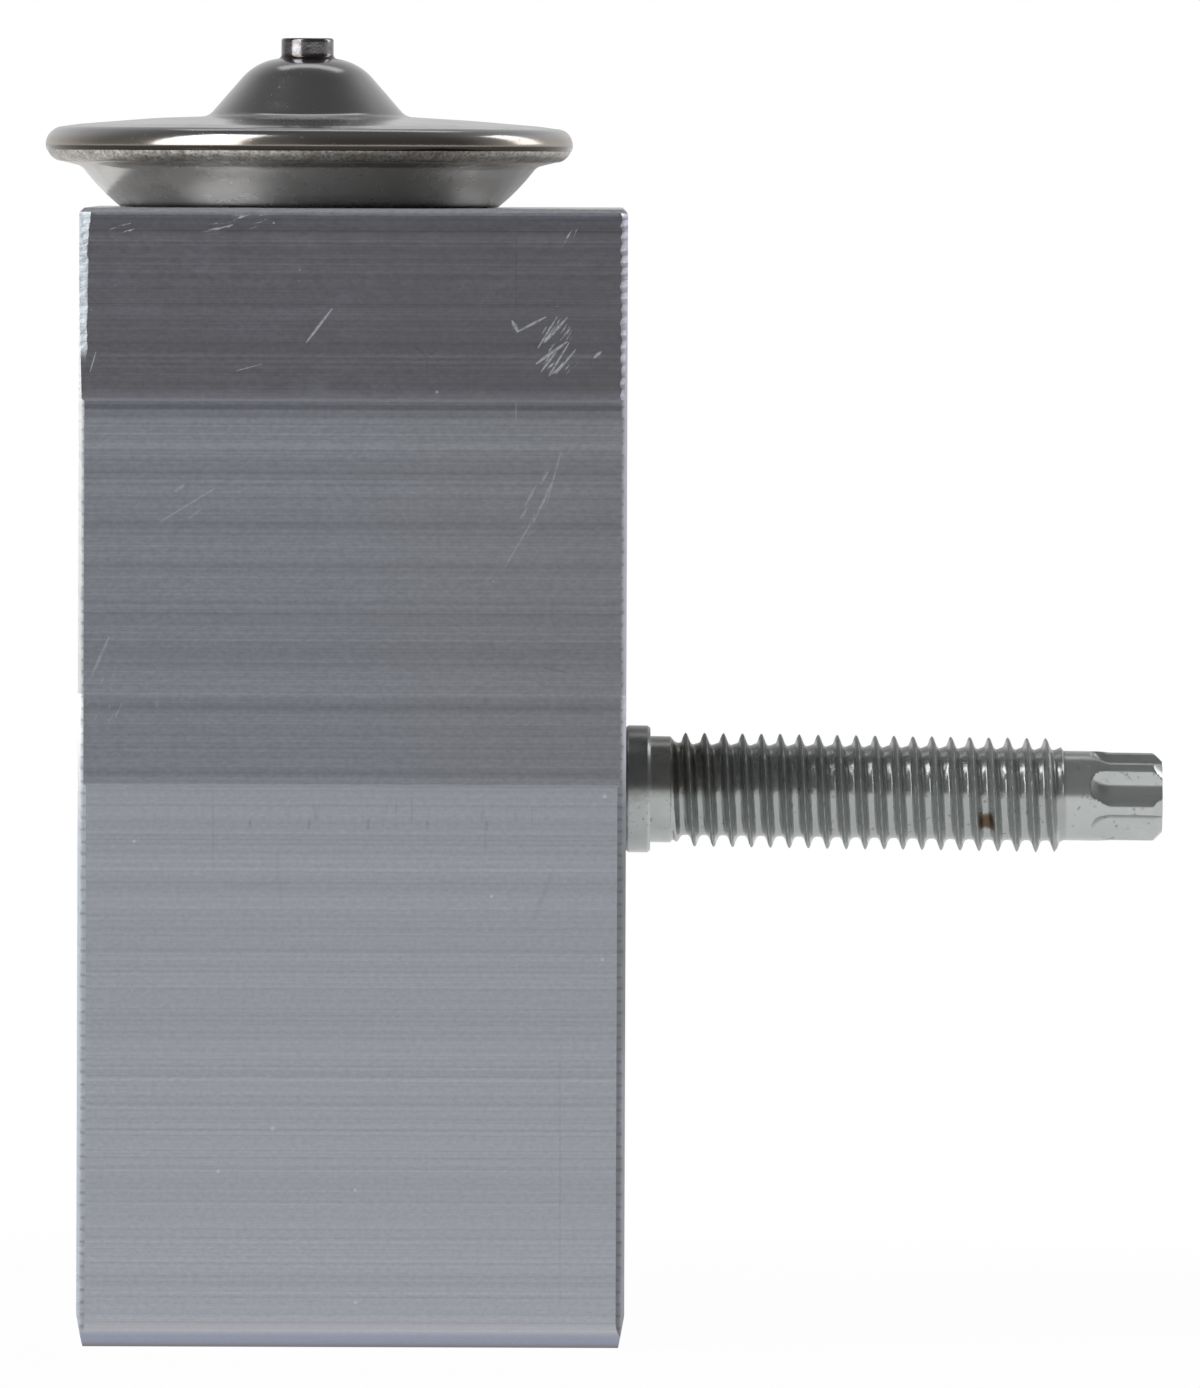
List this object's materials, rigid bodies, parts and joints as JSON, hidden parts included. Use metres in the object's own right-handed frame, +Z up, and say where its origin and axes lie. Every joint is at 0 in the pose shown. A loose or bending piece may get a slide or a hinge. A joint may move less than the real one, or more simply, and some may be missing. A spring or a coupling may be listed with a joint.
{
  "type": "block expansion valve",
  "caption": "Block-type thermostatic expansion valve: ported aluminium block, diaphragm power element on top, spring-loaded ball inside, mounting stud on one face.",
  "frame": {"origin": "on the valve axis (head, rod, spring and plug) at the underside of the block", "axes": "+Z up the valve axis to the power element, +X out of the line-side port face along the mounting stud, +Y across the block away from the pictured flank"},
  "size_m": [0.059, 0.036, 0.0682],
  "materials": {
    "block_aluminium": "mill-finish extrusion, satin",
    "cup_steel": "satin stainless, lightly discoloured",
    "cover_steel": "polished stainless",
    "weld_steel": "rough weld bead",
    "pin_steel": "satin, straw tint",
    "diaphragm_steel": "bright stainless foil",
    "seal_rubber": "matt black",
    "inner_steel": "turned stainless",
    "ball_steel": "polished",
    "spring_steel": "drawn wire",
    "brass": "turned brass",
    "zinc_steel": "zinc plated, yellow-grey passivation"
  },
  "bodies": {
    "root": {"valve_body": "block_aluminium", "lower_cover": "cup_steel", "upper_cover": "cover_steel", "rim_weld": "weld_steel", "charge_pin": "pin_steel", "diaphragm": "diaphragm_steel", "head_o_ring": "seal_rubber", "rod_o_ring": "seal_rubber", "rod_seal_retainer": "brass", "mounting_stud": "zinc_steel"},
    "poppet": {"thrust_plate": "inner_steel", "sensing_rod": "inner_steel", "valve_ball": "ball_steel", "ball_carrier": "inner_steel", "damping_spring": "spring_steel"},
    "plug_carriage": {"plug_o_ring": "seal_rubber", "superheat_spring": "spring_steel"},
    "plug": {"adjusting_plug": "brass"}
  },
  "joints": [
    {"name": "poppet_lift", "type": "slide", "parent": "root", "child": "poppet", "axis": [0, 0, -1], "range_m": [0, 0.0006], "stiffness_N_per_m": 7000, "deforming": ["superheat_spring"]},
    {"name": "plug_advance", "type": "slide", "parent": "root", "child": "plug_carriage", "axis": [0, 0, 1], "range_m": [-0.001, 0.001], "deforming": ["superheat_spring"]},
    {"name": "plug_turn", "type": "hinge", "parent": "plug_carriage", "child": "plug", "pos_m": [0, 0, 0], "axis": [0, 0, 1], "range_deg": [-360, 360]}
  ],
  "couplings": [
    {"joint": "plug_advance", "follows": "plug_turn", "m_per_rad": 0.00015915}
  ]
}
